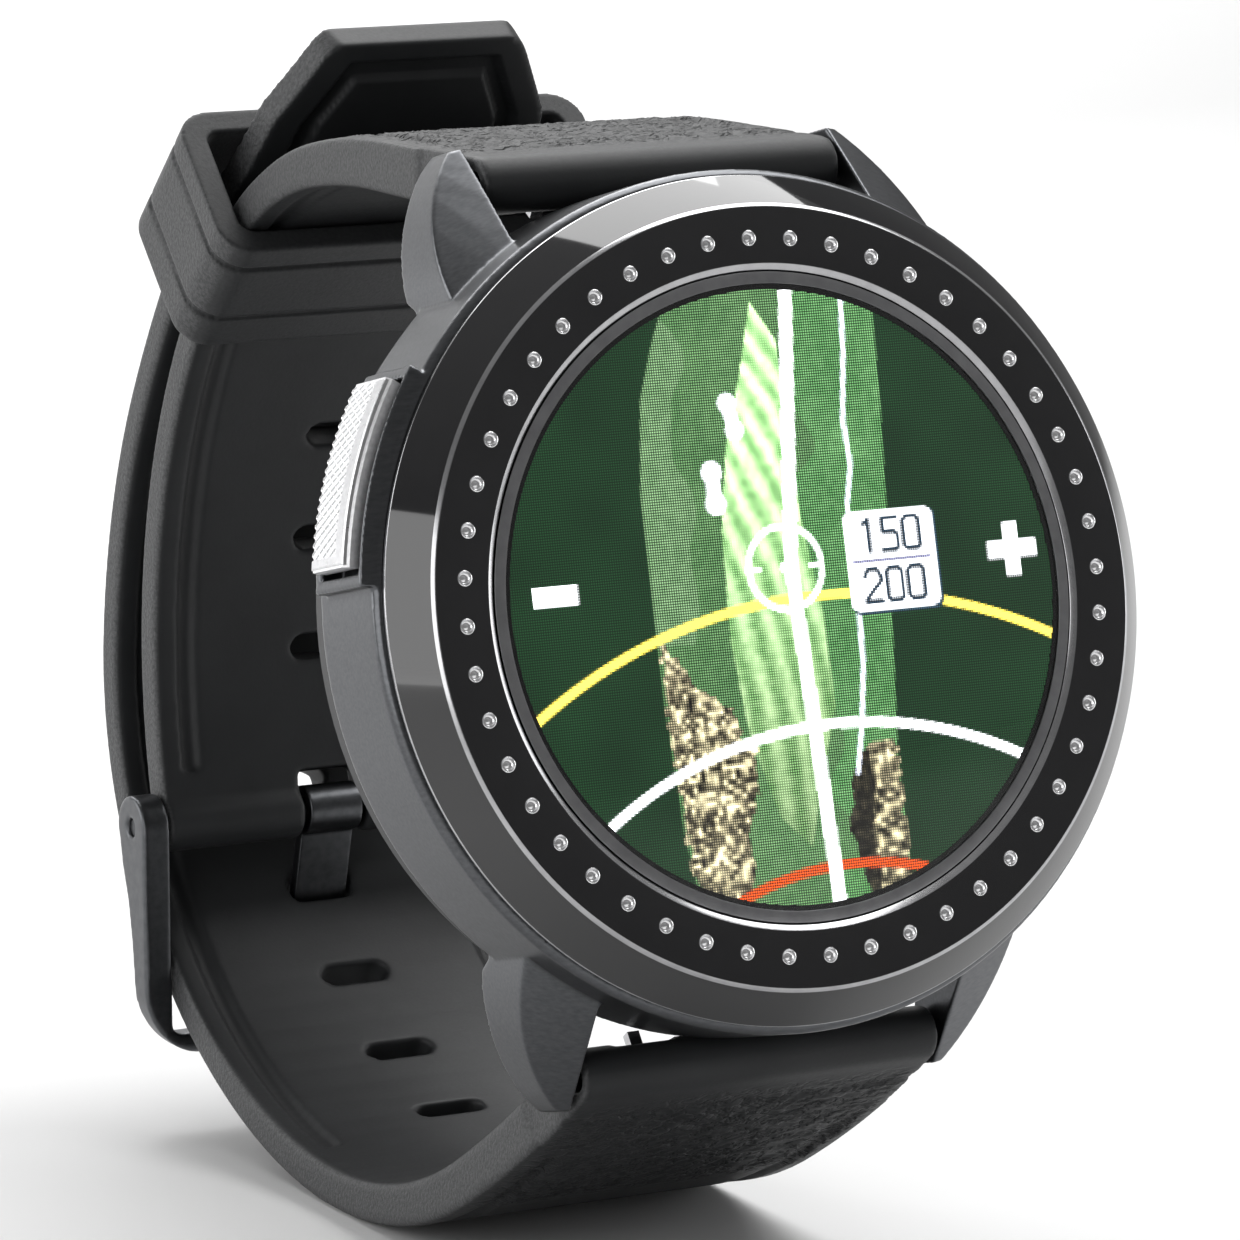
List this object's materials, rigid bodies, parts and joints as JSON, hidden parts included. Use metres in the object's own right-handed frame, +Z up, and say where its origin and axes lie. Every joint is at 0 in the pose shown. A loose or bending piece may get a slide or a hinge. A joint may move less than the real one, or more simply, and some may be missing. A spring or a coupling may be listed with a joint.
{
  "type": "golf gps watch",
  "caption": "Round sports watch with a map display, a push button on one side, and a slotted rubber strap closed in a loop by a pin buckle and a keeper.",
  "frame": {"origin": "centre of the base of the bounding box: where the closed strap stands on the table, +Z up", "axes": "+Z up, +X towards 3 o'clock along the spring bars, +Y from the dial towards the buckle; the dial faces -Y and leans back 13.9 degrees"},
  "size_m": [0.047, 0.0694, 0.0661],
  "materials": {
    "bezel_black": "glossy black ring over a satin gunmetal flank",
    "pip_metal": "polished",
    "glass": "clear",
    "seal": "matte",
    "screen": "green course map under a dark border",
    "inner_plastic": "matte",
    "ribbon": "amber film",
    "case_metal": "satin gunmetal",
    "back_plastic": "fine matte",
    "screw_steel": "satin",
    "gold": "polished",
    "board": "satin",
    "chip": "matte",
    "aerial": "fired ceramic with a metal face",
    "cell_foil": "satin foil",
    "button_metal": "bright, knurled",
    "strap_rubber": "matte charcoal, fine grain",
    "buckle_metal": "satin dark grey"
  },
  "bodies": {
    "watch": {"bezel": "bezel_black", "bezel_pips": "pip_metal", "lens": "glass", "lens_gasket": "seal", "display_panel": "screen", "display_frame": "inner_plastic", "display_flex": "ribbon", "mid_case": "case_metal", "case_back": "back_plastic", "back_gasket": "seal", "back_screws": "screw_steel", "charge_contacts": "gold", "chassis": "inner_plastic", "main_board": "board", "board_parts": "chip", "gps_patch": "aerial", "battery": "cell_foil", "vibration_motor": "screw_steel", "push_switch": "chip", "button_spring": "screw_steel", "lug_bars": "screw_steel", "short_strap": "strap_rubber", "long_strap": "strap_rubber", "buckle_bar": "buckle_metal"},
    "push": {"side_button": "button_metal", "button_clip": "screw_steel", "button_seal": "seal"},
    "keeper_loop": {"keeper": "strap_rubber"},
    "buckle": {"buckle_frame": "buckle_metal"},
    "tang_pin": {"tang": "buckle_metal"},
    "upper_bar_tip": {"upper_release": "screw_steel"},
    "lower_bar_tip": {"lower_release": "screw_steel"}
  },
  "joints": [
    {"name": "button_press", "type": "slide", "parent": "watch", "child": "push", "axis": [0.933, -0.0862, -0.3495], "range_m": [0, 0.0007], "stiffness_N_per_m": 1500, "springref_m": -0.001, "deforming": ["button_spring"]},
    {"name": "keeper_slide", "type": "hinge", "parent": "watch", "child": "keeper_loop", "pos_m": [0.00055, -0.00682, 0.0281], "axis": [-1, 0, 0], "range_deg": [0, 20]},
    {"name": "buckle_swing", "type": "hinge", "parent": "watch", "child": "buckle", "pos_m": [0.00055, 0.02637, 0.01796], "axis": [1, 0, 0], "range_deg": [0, 1.2]},
    {"name": "tang_swing", "type": "hinge", "parent": "watch", "child": "tang_pin", "pos_m": [0.00055, 0.02637, 0.01796], "axis": [1, 0, 0], "range_deg": [0, 2]},
    {"name": "upper_release_slide", "type": "slide", "parent": "watch", "child": "upper_bar_tip", "axis": [1, 0, 0], "range_m": [0, 0.00125], "stiffness_N_per_m": 800, "springref_m": -0.001},
    {"name": "lower_release_slide", "type": "slide", "parent": "watch", "child": "lower_bar_tip", "axis": [1, 0, 0], "range_m": [0, 0.00125], "stiffness_N_per_m": 800, "springref_m": -0.001}
  ]
}
